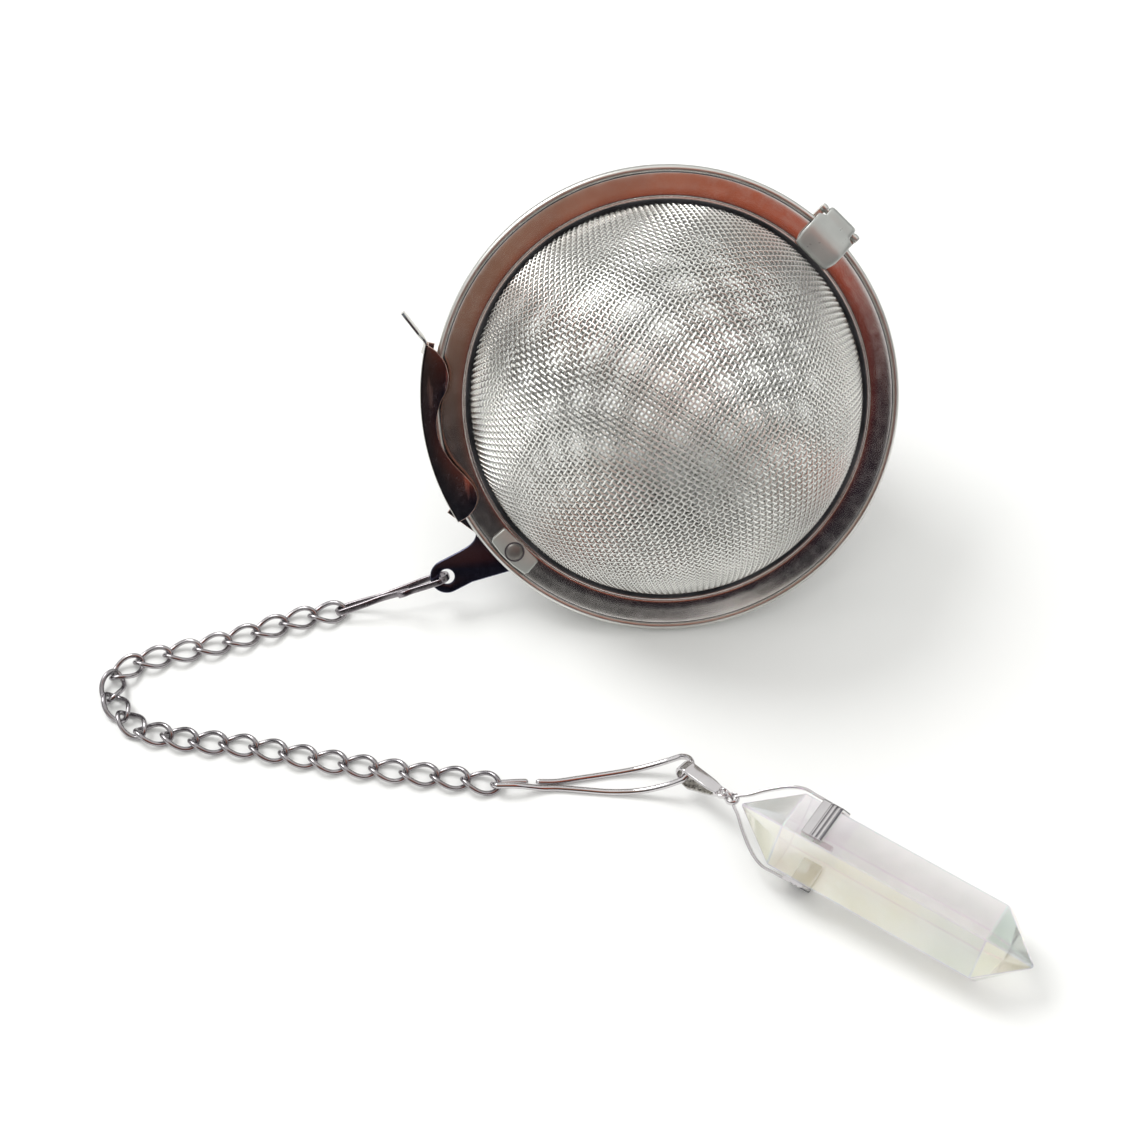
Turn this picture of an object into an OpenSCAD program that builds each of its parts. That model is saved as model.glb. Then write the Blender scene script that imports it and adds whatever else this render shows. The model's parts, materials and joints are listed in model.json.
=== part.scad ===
// Tea ball infuser: two hinged mesh bowls, a swing latch, a twisted-link chain
// with a connector at each end, and a hexagonal crystal pendant.
// The closed ball rests on its rims and on the back bowl, and the chain and the
// pendant lie on the same surface, at height 0.

/* [Ball] */
// Outer diameter of both rims
ring_d = 50.8; // [50:0.1:52]
// Diameter of the mesh opening inside each rim
mesh_d = 43.2; // [42.8:0.1:43.4]
// How far each mesh bowl stands out from the parting plane
bowl_depth = 19.1; // [18:0.1:20]
// How much deeper the back bowl is, before its foot is pressed flat
foot_depth = 0.8; // [0.7:0.1:0.9]
// Thickness of the woven mesh skin
mesh_t = 0.4; // [0.3:0.05:0.5]
// Thickness of the stamped sheet
sheet_t = 0.4; // [0.35:0.05:0.45]
// Radius of the rolled bead round each rim
bead_r = 0.4; // [0.35:0.05:0.45]

/* [Hinge] */
// Direction of the hinge on the rims, seen from the front
hinge_angle = 43.6; // [40:0.1:50]
// Width of the tongue that hooks round the hinge bar
tongue_w = 3.6; // [3:0.1:4]
// Radius of the hinge bar
hinge_bar_r = 0.35; // [0.3:0.01:0.4]
// Running clearance round the hinge bar and the rivet
running_gap = 0.05; // [0.03:0.01:0.08]

/* [Latch] */
// Direction of the rivet on the front rim
rivet_angle = 222.3; // [220:0.1:224]
// Distance of the rivet from the middle of the ball
rivet_at = 23.3; // [23.2:0.1:23.4]
// Radius of the rivet's shank
rivet_r = 0.6; // [0.5:0.05:0.65]
// How far the latch is eased off its closed position
latch_ease = 2.8; // [2.6:0.1:3.2]
// Length of the thumb tab
thumb_len = 4.4; // [3:0.1:5]

/* [Ear] */
// Direction of the chain hole from the middle of the ball
ear_hole_angle = 217; // [216:0.5:218]
// Distance of the chain hole from the middle of the ball
ear_hole_at = 31; // [30:0.1:32]
// Radius of the chain hole
ear_hole_r = 0.85; // [0.8:0.05:0.9]
// Radius of the ear's rounded end
ear_end_r = 1.85; // [1.7:0.05:2]

/* [Chain] */
// Number of links
link_count = 23; // [23:1:23]
// Half length of a link, along the middle of its wire
link_a = 2.0; // [1.95:0.01:2.05]
// Half width of a link, along the middle of its wire
link_b = 1.2; // [1.15:0.01:1.25]
// Radius of the link's wire
link_wire_r = 0.3; // [0.25:0.01:0.32]
// Twist of each end of a link
link_twist = 45; // [40:1:50]
// Distance between neighbours where the chain is straight
link_pitch = 3.3; // [3.2:0.01:3.35]
// Distance between neighbours where the chain turns back
slack_pitch = 2.95; // [2.8:0.01:3.1]

/* [Pendant] */
// Width of the crystal across two opposite flats
crystal_flats = 8.2; // [8:0.1:8.4]
// Length of the crystal from point to point
crystal_len = 34; // [32:0.5:35]
// Length of the point under the cap
cap_point_len = 6; // [5:0.1:7]
// Length of the free point
free_point_len = 4.8; // [4:0.1:6]
// Thickness of the cap's plates
cap_t = 0.45; // [0.4:0.05:0.5]

/* [Hidden] */
$fn = 64;
cut = 1;             // how far a cutter runs past what it cuts
ring_r = ring_d / 2;
mesh_r = mesh_d / 2;
rim_gap = 0.05;      // half the gap between the closed rims
face_z = 1.2;        // height of the flange over the parting plane
crimp_r = 0.35;      // radius of the rolled edge that clamps the mesh
crimp_at = mesh_r + crimp_r - 0.1;
bead_at = ring_r - bead_r;

// The ball leans back until its bead and a bowl of the front one's depth both touch the surface.
bowl_base = 0.5;     // where a bowl starts, over the parting plane
bowl_r = mesh_r - 0.1;
sphere_r = bowl_sphere(bowl_depth);
sphere_at = bowl_depth - sphere_r;
bead_low = rim_gap + bead_r;
lean_reach = norm([bead_at, bead_low - sphere_at]);
face_up = acos((sphere_r - bead_r) / lean_reach) + atan2(bead_low - sphere_at, bead_at);
face_turn = 3.5;     // the ball's face turns this far towards +X
ball_z = bead_at * cos(face_up) + bead_low * sin(face_up) + bead_r;

// The whole part is moved by this much, which puts its origin under its middle.
middle = [13.14, 21.105, 0];

// Chain: the heading of each link over the surface, from the ear to the pendant.
HEADINGS = [
    -168, -161, -156, -158, -163, -165, -163, -140, -96, -54, -46, -10,
    -14, -6, -8, -13, -13, -12, -10, -9, -8, -8, -12
];
SLACK_LINKS = [8, 13];                     // the first and last link of the turn
chain_start = [-35.8, -13.9];
link_z = link_wire_r + link_b * 0.38;      // the twisted links lie this high
link_steps = 20;
wire_sides = 8;

// Chain connector, a flat strip bent to a waisted loop
strip_t = 0.45;
strip_w = 0.7;
strip_spread = 1.2;
strip_roll = 7;
strip_waist = 0.4;
strip_end = 0.75;
strip_lift = 0.1;

// Pendant connector, a round wire bent to a figure of eight
wire_r = 0.33;
wire_small = 0.75;
wire_waist = 0.42;
wire_large = 1.5;
clip_len = 20.6;
clip_heading = 2.5;
clip_rise = 3;

// Pendant
ring_major = 0.75;
ring_wire = 0.2;
pendant_start = [7.1, -42.3];
pendant_heading = -33.8;
crystal_r = crystal_flats / 2;
crystal_corner = crystal_r / cos(30);
plate_from = 7.6;                          // the cap's plates hold the body here
plate_w = 2.6;
body_end = crystal_len - free_point_len;
// The plate lifts the cap end, so the pendant lies on it and on the body's far edge.
pendant_tilt = atan(cap_t / (body_end - plate_from - plate_w));
tip_z = crystal_r * cos(pendant_tilt) + body_end * sin(pendant_tilt);

// Radius of the sphere that a bowl of this depth is part of
function bowl_sphere(depth) = let (rise = depth - bowl_base) (bowl_r * bowl_r + rise * rise) / (2 * rise);
function link_name(i) = str("chain_link_", i < 10 ? "0" : "", i);
function pitch(i) = i >= SLACK_LINKS[0] && i <= SLACK_LINKS[1] ? slack_pitch : link_pitch;
function flat_dir(a) = [cos(a), sin(a)];
// Where link i ends, and link i + 1 begins
function joint_at(i) = i == 0 ? chain_start : joint_at(i - 1) + pitch(i) * flat_dir(HEADINGS[i - 1]);
function arc(c, r, from, to, n) =
    [for (k = [0:n]) c + r * flat_dir(from + (to - from) * k / n)];

// Turns local axes so that +Z looks out of the front bowl.
module ball_frame() {
    translate([0, 0, ball_z]) rotate([90 - face_up, 0, face_turn]) children();
}
// A point on the rims: +X points out, +Y runs along the rim, +Z to the front.
module at_rim(angle, r = 0) {
    rotate([0, 0, angle]) translate([r, 0, 0]) children();
}
module grounded() {
    translate(middle) children();
}

// A closed tube along a closed loop of points. Its sections face away from the middle.
function unit(v) = v / norm(v);
function ring_of(pts, i, r) =
    let (n = len(pts))
    let (t = unit(pts[(i + 1) % n] - pts[(i + n - 1) % n]))
    let (out = unit(pts[i] - (pts[i] * t) * t))
    let (up = cross(t, out))
    [for (k = [0:wire_sides - 1])
        pts[i] + r * (cos(360 * k / wire_sides) * out + sin(360 * k / wire_sides) * up)];
module closed_tube(pts, r) {
    n = len(pts);
    m = wire_sides;
    points = [for (i = [0:n - 1]) each ring_of(pts, i, r)];
    faces = [for (i = [0:n - 1], k = [0:m - 1])
        let (j = (i + 1) % n, l = (k + 1) % m)
        each [
            [i * m + k, j * m + l, i * m + l],
            [i * m + k, j * m + k, j * m + l]
        ]];
    polyhedron(points, faces);
}

// One rim, front side: rolled bead, sloping flange and crimped inner edge.
module rim_section() {
    translate([bead_at, rim_gap + bead_r]) circle(bead_r);
    translate([crimp_at, face_z - 0.45]) circle(crimp_r);
    polygon([
        [crimp_at, face_z - 0.1 - sheet_t],
        [mesh_r + 1.8, face_z - sheet_t],
        [bead_at, rim_gap + 2 * bead_r - sheet_t],
        [bead_at, rim_gap + 2 * bead_r],
        [mesh_r + 1.8, face_z],
        [crimp_at, face_z - 0.1]
    ]);
}
module rim() {
    rotate_extrude() rim_section();
}
skirt_h = 0.35;      // how far a bowl's straight edge runs into the crimp
module bowl_outside(depth) {
    r = bowl_sphere(depth);
    intersection() {
        translate([0, 0, depth - r]) sphere(r);
        translate([0, 0, bowl_base]) cylinder(h = depth, r = ring_r);
    }
    translate([0, 0, bowl_base - skirt_h]) cylinder(h = skirt_h, r = bowl_r);
}
module bowl_inside(depth) {
    r = bowl_sphere(depth);
    translate([0, 0, depth - r]) sphere(r - mesh_t);
    translate([0, 0, bowl_base - skirt_h - cut])
        cylinder(h = skirt_h + cut + 0.01, r = bowl_r - mesh_t);
}
// Everything above this height over the surface
module above(height) {
    translate([-ring_d, -ring_d, height]) cube([2 * ring_d, 2 * ring_d, ring_d]);
}

// Hinge, drawn at the rim with the bar's axis along Y.
bar_at = ring_r + 1.2;
tab_w = 5.4;
tab_t = 0.6;
slot_half = tongue_w / 2 + 0.2;
curl_in = hinge_bar_r + running_gap;
curl_out = curl_in + sheet_t;
module along_rim(w) {
    translate([0, w / 2, 0]) rotate([90, 0, 0]) linear_extrude(w) children();
}
module hinge_tab() {
    difference() {
        union() {
            translate([bead_at - 0.1, -tab_w / 2, -rim_gap - tab_t])
                cube([bar_at + 0.45 - bead_at + 0.1, tab_w, tab_t]);
            for (side = [-1, 1])
                translate([bar_at, side * (slot_half + tab_w / 2) / 2, 0])
                    along_rim(tab_w / 2 - slot_half) circle(0.45);
        }
        translate([ring_r + 0.05, -slot_half, -cut - tab_t])
            cube([bar_at + cut, 2 * slot_half, 2 * cut + tab_t]);
    }
    translate([bar_at, 0, 0]) along_rim(tab_w - 0.2) circle(hinge_bar_r);
}
module hinge_tongue() {
    along_rim(tongue_w) {
        difference() {
            translate([bar_at, 0]) circle(curl_out);
            translate([bar_at, 0]) circle(curl_in);
            translate([bar_at - 2 * curl_out, -2 * curl_out]) square([2 * curl_out, 2 * curl_out]);
        }
        polygon([
            [mesh_r + 1.0, face_z - 0.25],
            [mesh_r + 1.0, face_z + sheet_t],
            [ring_r - 0.6, face_z + sheet_t + 0.2],
            [bar_at, curl_out],
            [bar_at, curl_in],
            [bar_at - 0.2, curl_in],
            [ring_r - 0.5, face_z + 0.1],
            [mesh_r + 1.8, face_z - 0.1]
        ]);
    }
}

// Ear, a flat tab behind the rim that leans away from the rim's own direction.
ear_t = 0.5;
ear_z = -1.6;
ear_hole = ear_hole_at * flat_dir(ear_hole_angle);
ear_foot_top = (ring_r - 0.3) * flat_dir(213);
ear_foot_low = (ring_r - 0.3) * flat_dir(226);
ear_lean = 205;
module ear() {
    side = ear_end_r * flat_dir(ear_lean - 90);
    translate([0, 0, ear_z]) linear_extrude(ear_t) difference() {
        union() {
            translate(ear_hole) circle(ear_end_r);
            polygon([
                ear_hole + side,
                ear_hole + side - 4 * flat_dir(ear_lean),
                ear_foot_top,
                (mesh_r + 1) * flat_dir(215),
                (mesh_r + 1) * flat_dir(225),
                ear_foot_low,
                ear_hole - side
            ]);
        }
        translate(ear_hole) circle(ear_hole_r);
    }
    at_rim(220, bead_at - 0.5) translate([0, -2.5, ear_z + 0.1]) cube([0.8, 5, 0.9]);
}
module back_rim() {
    color("slategray") grounded() ball_frame() {
        mirror([0, 0, 1]) rim();
        at_rim(hinge_angle) hinge_tab();
        ear();
    }
}
// The back bowl is pressed flat where it rests, which keeps the ball from rolling back.
module back_mesh() {
    depth = bowl_depth + foot_depth;
    color("lightgray") grounded() difference() {
        intersection() {
            ball_frame() mirror([0, 0, 1]) bowl_outside(depth);
            above(0);
        }
        intersection() {
            ball_frame() mirror([0, 0, 1]) bowl_inside(depth);
            above(mesh_t);
        }
    }
}

// Raised pad with the rivet, and the room beneath it for the latch's arm.
pad_l = 5.2;
pad_w = 2.3;
pad_top = face_z + 0.4;
arm_z = 0.15;
arm_t = 0.4;
arm_h = 0.7;         // the arm's room under the flange
module front_rim() {
    color("sienna") grounded() ball_frame() difference() {
        union() {
            rim();
            at_rim(hinge_angle) hinge_tongue();
            at_rim(rivet_angle, rivet_at)
                translate([-pad_w / 2, -pad_l / 2, face_z - 0.4]) cube([pad_w, pad_l, 0.8]);
        }
        at_rim(rivet_angle, rivet_at) cylinder(h = 3, r = rivet_r);
        at_rim(rivet_angle - 10, rivet_at)
            translate([0.4, -5, -cut]) cube([3, 10.2, cut + arm_h]);
    }
}
module front_mesh() {
    color("gainsboro") grounded() ball_frame() difference() {
        bowl_outside(bowl_depth);
        bowl_inside(bowl_depth);
    }
}
module pivot_rivet() {
    color("dimgray") grounded() ball_frame() at_rim(rivet_angle, rivet_at) {
        translate([0, 0, 0.02]) cylinder(h = pad_top - 0.02, r = rivet_r);
        translate([0, 0, pad_top]) cylinder(h = 0.25, r = rivet_r + 0.35);
        translate([0, 0, 0.02]) cylinder(h = 0.08, r = rivet_r + 0.2);
    }
}

// Latch: an arm on the rivet carries a channel that wraps both rims.
latch_top = 162.5;   // the channel runs between these directions
latch_low = 207;
hook_low = 187;      // the rear lip ends here
wall_in = ring_r + 0.1;
wall_out = wall_in + sheet_t;
latch_face = face_z + 0.2;
latch_rear = -face_z - 0.1;
function rim_arc(r, from, to, n) = arc([0, 0], r, from, to, n);
function lobe(a, deep) = (ring_r - deep) * flat_dir(a);
module latch_wall(low, n) {
    polygon(concat(rim_arc(wall_out, low, latch_top, n), rim_arc(wall_in, latch_top, low, n)));
}
module latch_sheet(points) {
    linear_extrude(sheet_t) polygon(points);
}
module latch_closed() {
    translate([0, 0, latch_face]) latch_sheet(concat(
        rim_arc(wall_out, latch_low, latch_top, 10),
        [
            lobe(165, 0.6), lobe(167, 1.7), lobe(170, 2.3), lobe(173, 2.3), lobe(176, 1.9),
            lobe(180, 1.3), lobe(184, 1.1), lobe(188, 1.3), lobe(193, 2), lobe(198, 2.7),
            lobe(202, 2.9), lobe(205, 2.5)
        ]
    ));
    translate([0, 0, -0.9]) linear_extrude(latch_face + 0.9 + sheet_t)
        latch_wall(latch_low, 10);
    translate([0, 0, latch_rear - sheet_t]) linear_extrude(latch_face - latch_rear + 2 * sheet_t)
        latch_wall(hook_low, 6);
    translate([0, 0, latch_rear - sheet_t]) latch_sheet(concat(
        rim_arc(wall_out, hook_low, latch_top, 6),
        rim_arc(ring_r - 0.55, latch_top, hook_low, 6)
    ));
    at_rim(latch_top, wall_in) translate([0, -0.2, -face_z]) rotate([0, 0, 50])
        translate([0, -thumb_len, 0]) cube([sheet_t, thumb_len, 2 * face_z + 0.3]);
}
module latch_arm() {
    tail = wall_in * flat_dir(latch_low - 3);
    eye = rivet_at * flat_dir(rivet_angle);
    run = unit(tail - eye);
    side = [-run[1], run[0]];
    translate([0, 0, arm_z]) difference() {
        linear_extrude(arm_t) union() {
            translate(eye) circle(1.15);
            polygon([eye + side, eye - side, tail - 0.9 * side + 0.3 * run, tail + 0.9 * side + 0.3 * run]);
        }
        translate([eye[0], eye[1], -cut]) cylinder(h = 3, r = rivet_r + running_gap);
    }
}
module latch_lever() {
    eye = rivet_at * flat_dir(rivet_angle);
    color("darkslategray") grounded() ball_frame()
        translate([eye[0], eye[1], 0]) rotate([0, 0, latch_ease]) translate([-eye[0], -eye[1], 0]) {
            latch_closed();
            latch_arm();
        }
}

// Chain connector: from the ear's hole down to the first link.
module chain_clip() {
    spin = [90 - face_up, 0, face_turn];
    hole = turned([ear_hole[0], ear_hole[1], ear_z + ear_t / 2]) + [0, 0, ball_z];
    far = [chain_start[0], chain_start[1], link_z + strip_lift];
    run = unit(far - hole);
    face = unit(turned([0, 0, 1]));
    square_on = unit(face - (face * run) * run);
    spread = cos(strip_roll) * square_on - sin(strip_roll) * cross(run, square_on);
    len = norm(far - hole) + 0.35 + strip_t / 2;
    color("darkgray") grounded() translate(hole)
        multmatrix(axes(run, spread))
            translate([0, 0, -strip_w / 2]) linear_extrude(strip_w) difference() {
                polygon(strip_outline(len, strip_t / 2));
                polygon(strip_outline(len, -strip_t / 2));
            }
}
// Columns of a turned frame: X along one direction and Y along another.
function axes(x, y) = let (z = cross(x, y))
    [[x[0], y[0], z[0], 0], [x[1], y[1], z[1], 0], [x[2], y[2], z[2], 0], [0, 0, 0, 1]];
function turned(v) =
    let (tip = 90 - face_up)
    let (a = [v[0], v[1] * cos(tip) - v[2] * sin(tip), v[1] * sin(tip) + v[2] * cos(tip)])
    [a[0] * cos(face_turn) - a[1] * sin(face_turn), a[0] * sin(face_turn) + a[1] * cos(face_turn), a[2]];
function strip_outline(len, grow) = concat(
    arc([strip_spread - 0.1, 0], strip_spread + grow, 90, 270, 12),
    [[2.8, -strip_spread - grow], [7, -strip_waist - grow]],
    [[8.2, -strip_waist - grow], [10, -strip_end - grow]],
    arc([len - strip_end, 0], strip_end + grow, -90, 90, 12),
    [[10, strip_end + grow], [8.2, strip_waist + grow], [7, strip_waist + grow], [2.8, strip_spread + grow]]
);

// One link: an oval whose ends are twisted opposite ways.
function link_points() = [for (k = [0:link_steps - 1])
    let (t = 360 * k / link_steps, w = link_b * sin(t), tw = link_twist * cos(t))
    [link_a * cos(t), w * cos(tw), w * sin(tw)]];
module chain_link(i) {
    here = (joint_at(i - 1) + joint_at(i)) / 2;
    color("lightslategray") grounded()
        translate([here[0], here[1], link_z]) rotate([0, 0, HEADINGS[i - 1]])
            closed_tube(link_points(), link_wire_r);
}

// Pendant connector: a figure of eight that lies flat and rises to the bail.
function fade(x, from, to) = 0.5 + 0.5 * cos(180 * min(1, max(0, (x - from) / (to - from))));
function eight_z(x) = wire_r + wire_small * sin(45) * fade(x, 1.5, 6)
    + clip_rise * pow(max(0, (x - 12) / (clip_len - 12)), 2);
function eight_half() = concat(
    arc([0.4, 0], wire_small, 180, 100, 4),
    [[2, 0.72], [3.4, 0.5], [5, wire_waist], [6.5, wire_waist]],
    [[9, 0.75], [12, 1.15], [15, 1.4], [17.5, wire_large]],
    arc([clip_len - wire_large, 0], wire_large, 80, 0, 5)
);
function eight_points() =
    let (half = eight_half(), n = len(half))
    let (flat = concat(half, [for (k = [n - 2:-1:1]) [half[k][0], -half[k][1]]]))
    [for (p = flat)
        let (roll = -45 * fade(p[0], 1, 6))
        [p[0], p[1] * cos(roll), eight_z(p[0]) + p[1] * sin(roll)]];
module pendant_clip() {
    end = joint_at(link_count);
    color("silver") grounded() translate([end[0], end[1], 0]) rotate([0, 0, clip_heading])
        closed_tube(eight_points(), wire_r);
}

// Bail: a strip folded to a teardrop, with a lug for the jump ring. It hangs on
// the connector's large loop and leads to the cap's eye.
bail_r = 1.45;
bail_w = 1.6;
bail_t = 0.35;
lug_t = 0.6;
hang_in = 1.22;      // from the bail's end to the middle of the wire inside it
hang_dir = -45;
hang_mid = joint_at(link_count) + (clip_len - wire_large) * flat_dir(clip_heading);
hang_flat = hang_mid + wire_large * flat_dir(hang_dir);
hang_at = [hang_flat[0], hang_flat[1], eight_z(clip_len - 0.5)];
eye_back = 1;        // from the crystal's point to the middle of the cap's eye
eye_flat = pendant_start - eye_back * cos(pendant_tilt) * flat_dir(pendant_heading);
eye_at = [eye_flat[0], eye_flat[1], tip_z + eye_back * sin(pendant_tilt)];
bail_run = eye_at - hang_at;
bail_heading = atan2(bail_run[1], bail_run[0]);
bail_rise = asin(bail_run[2] / norm(bail_run));
eye_x = hang_in + norm(bail_run);
lug_x = eye_x - 2 * ring_major;
module bail_frame() {
    translate(hang_at) rotate([0, 0, bail_heading]) rotate([0, -bail_rise, 0])
        translate([-hang_in, 0, 0]) children();
}
module pendant_bail() {
    tip = lug_x - 0.5;
    color("gray") grounded() bail_frame() difference() {
        union() {
            along_rim(bail_w)
                polygon(concat(arc([bail_r, 0], bail_r, 70, 290, 16), [[tip, -0.4], [tip, 0.4]]));
            translate([tip - 0.2, -0.65, -lug_t / 2]) cube([1.25, 1.3, lug_t]);
        }
        along_rim(2 * bail_w) polygon(concat(
            arc([bail_r, 0], bail_r - bail_t, 70, 290, 16),
            [[tip - 0.5, -0.1], [tip - 0.5, 0.1]]
        ));
        translate([lug_x, 0, -lug_t]) cylinder(h = 2 * lug_t, r = 0.36);
    }
}
module jump_ring() {
    color("silver") grounded() bail_frame() translate([lug_x + ring_major, 0, 0]) rotate([90, 0, 0])
        rotate_extrude() translate([ring_major, 0]) circle(ring_wire);
}

// Pendant: the crystal's own frame has its axis along X, from the capped point.
module pendant_frame() {
    translate([pendant_start[0], pendant_start[1], tip_z]) rotate([0, 0, pendant_heading])
        rotate([0, pendant_tilt, 0]) children();
}
module crystal_point() {
    color("aliceblue") grounded() pendant_frame() rotate([0, 90, 0]) rotate([0, 0, 30]) {
        translate([0, 0, cap_point_len]) cylinder(h = body_end - cap_point_len, r = crystal_corner, $fn = 6);
        translate([0, 0, body_end]) cylinder(h = free_point_len, r1 = crystal_corner, r2 = 0, $fn = 6);
        cylinder(h = cap_point_len, r1 = 0, r2 = crystal_corner, $fn = 6);
    }
}
// Two plates on neighbouring facets, mitred where they meet: the arm's own facet
// and the next one round.
grip_from = 64;
grip_to = 176;
module cap_grip() {
    reach = 2 * (crystal_corner + 2 * cap_t);
    translate([plate_from, 0, 0]) rotate([90, 0, 90]) linear_extrude(plate_w) intersection() {
        difference() {
            circle(crystal_corner + cap_t / cos(30), $fn = 6);
            circle(crystal_corner, $fn = 6);
        }
        polygon([[0, 0], reach * flat_dir(grip_from), reach * flat_dir(120), reach * flat_dir(grip_to)]);
    }
}
module cap_arm() {
    slim = 0.6;
    translate([0, slim, 0]) rotate([90, 0, 0]) linear_extrude(2 * slim) polygon([
        [-0.3, 0],
        [0, 0.5],
        [cap_point_len, crystal_r + 0.15],
        [plate_from, crystal_r + 0.02],
        [plate_from + 0.6, crystal_r + 0.02],
        [plate_from + 0.6, crystal_r + cap_t],
        [cap_point_len - 0.8, crystal_r + cap_t],
        [1.6, 2.2],
        [-0.6, 0.7],
        [-0.6, 0]
    ]);
}
module pendant_cap() {
    color("silver") grounded() pendant_frame() {
        for (side = [-60, 120]) rotate([side, 0, 0]) {
            cap_grip();
            cap_arm();
        }
        translate([-eye_back, 0, 0]) rotate([0, -bail_rise, 0]) difference() {
            cylinder(h = 0.7, r = 0.8, center = true);
            cylinder(h = 2, r = 0.42, center = true);
        }
    }
}

back_rim();
back_mesh();
front_rim();
front_mesh();
pivot_rivet();
latch_lever();
chain_clip();
for (i = [1:link_count]) chain_link(i);
pendant_clip();
pendant_bail();
jump_ring();
pendant_cap();
crystal_point();
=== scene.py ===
import json
import math

import bmesh
import bpy
import numpy as np
from mathutils import Matrix


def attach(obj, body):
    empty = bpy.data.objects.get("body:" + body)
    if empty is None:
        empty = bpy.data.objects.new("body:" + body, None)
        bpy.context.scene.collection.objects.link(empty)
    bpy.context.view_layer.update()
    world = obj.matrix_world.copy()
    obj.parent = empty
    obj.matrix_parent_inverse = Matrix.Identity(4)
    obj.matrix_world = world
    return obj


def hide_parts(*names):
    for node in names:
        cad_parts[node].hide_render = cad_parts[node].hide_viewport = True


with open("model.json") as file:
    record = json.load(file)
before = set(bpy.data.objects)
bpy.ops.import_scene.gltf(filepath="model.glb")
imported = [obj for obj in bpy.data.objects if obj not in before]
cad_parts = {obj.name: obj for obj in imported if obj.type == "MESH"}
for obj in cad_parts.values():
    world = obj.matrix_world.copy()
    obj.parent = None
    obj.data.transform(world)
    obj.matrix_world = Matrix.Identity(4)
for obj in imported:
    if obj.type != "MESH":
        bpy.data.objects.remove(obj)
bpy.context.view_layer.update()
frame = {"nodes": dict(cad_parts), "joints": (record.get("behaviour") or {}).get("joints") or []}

MM = 0.001
NODES = frame["nodes"]
JOINTS = {joint["name"]: joint for joint in frame["joints"]}
X_AXIS, Y_AXIS, Z_AXIS = np.eye(3)


# ---------------------------------------------------------------- frames
def unit(v):
    v = np.asarray(v, float)
    return v / np.linalg.norm(v)


def joint_pos(name):
    return np.array(JOINTS[name]["pos_m"], float) / MM


def joint_axis(name):
    return unit(JOINTS[name]["axis"])


def flat(angle, r=1.0):
    """The point at an angle in degrees and a distance from the middle."""
    return r * np.array([math.cos(math.radians(angle)), math.sin(math.radians(angle))])


def spin_x(angle):
    c, s = flat(angle)
    return np.array([[1, 0, 0], [0, c, -s], [0, s, c]])


def spin_y(angle):
    c, s = flat(angle)
    return np.array([[c, 0, s], [0, 1, 0], [-s, 0, c]])


def spin_z(angle):
    c, s = flat(angle)
    return np.array([[c, -s, 0], [s, c, 0], [0, 0, 1]])


class Place:
    """A local frame in millimetres: its origin, and its axes as columns."""

    def __init__(self, origin, axes):
        self.origin = np.asarray(origin, float)
        self.axes = np.asarray(axes, float)

    def __call__(self, points):
        return self.origin + np.asarray(points, float) @ self.axes.T

    def sub(self, offset, axes):
        return Place(self(offset), self.axes @ axes)

    def local(self, point):
        return (point - self.origin) @ self.axes


# The ball: its hinge bar and its latch's axis give its middle and its directions.
HINGE_ANGLE, BAR_AT = 43.6, 26.6
face = joint_axis("latch_swing")
along_bar = joint_axis("shell_open")
to_bar = np.cross(along_bar, face)
hinge_cos, hinge_sin = flat(HINGE_ANGLE)
ball = Place(
    joint_pos("shell_open") - BAR_AT * to_bar,
    np.column_stack([
        hinge_cos * to_bar - hinge_sin * along_bar,
        hinge_sin * to_bar + hinge_cos * along_bar,
        face,
    ]),
)


def at_rim(angle, r=0.0):
    return ball.sub([*flat(angle, r), 0], spin_z(angle))


# ---------------------------------------------------------------- outlines and paths
def arc(centre, r, start, end, n):
    return [np.asarray(centre, float) + flat(a, r) for a in np.linspace(start, end, n)]


def round_hole(centre, r, n=24):
    return arc(centre, r, 0, 360 - 360 / n, n)


def circle_section(r, n=12):
    turn = np.arange(n) * 2 * math.pi / n
    return np.column_stack([np.cos(turn), np.sin(turn)]) * r


def strip_section(width, thick, corner=None):
    """A rounded rectangle, wide along its first axis."""
    r = corner or 0.45 * thick
    out = []
    for sx, sy, start in ((1, 1, 0), (-1, 1, 90), (-1, -1, 180), (1, -1, 270)):
        out += arc([sx * (width / 2 - r), sy * (thick / 2 - r)], r, start, start + 90, 5)
    return np.array(out)


def smooth_path(points, per, closed=False):
    """A Catmull-Rom curve through the points, with per steps between two of them."""
    p = np.asarray(points, float)
    if closed:
        p = np.vstack([p[-1], p, p[0], p[1]])
    else:
        p = np.vstack([2 * p[0] - p[1], p, 2 * p[-1] - p[-2]])
    out = []
    for i in range(1, len(p) - 2):
        a, b, c, d = p[i - 1:i + 3]
        for k in range(per):
            t = k / per
            out.append(0.5 * (2 * b + (c - a) * t + (2 * a - 5 * b + 4 * c - d) * t * t
                              + (3 * b - a - 3 * c + d) * t ** 3))
    if not closed:
        out.append(p[-2])
    return np.array(out)


def upright(x, z):
    """A path in the local XZ plane."""
    return np.column_stack([x, np.zeros(len(x)), z])


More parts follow.
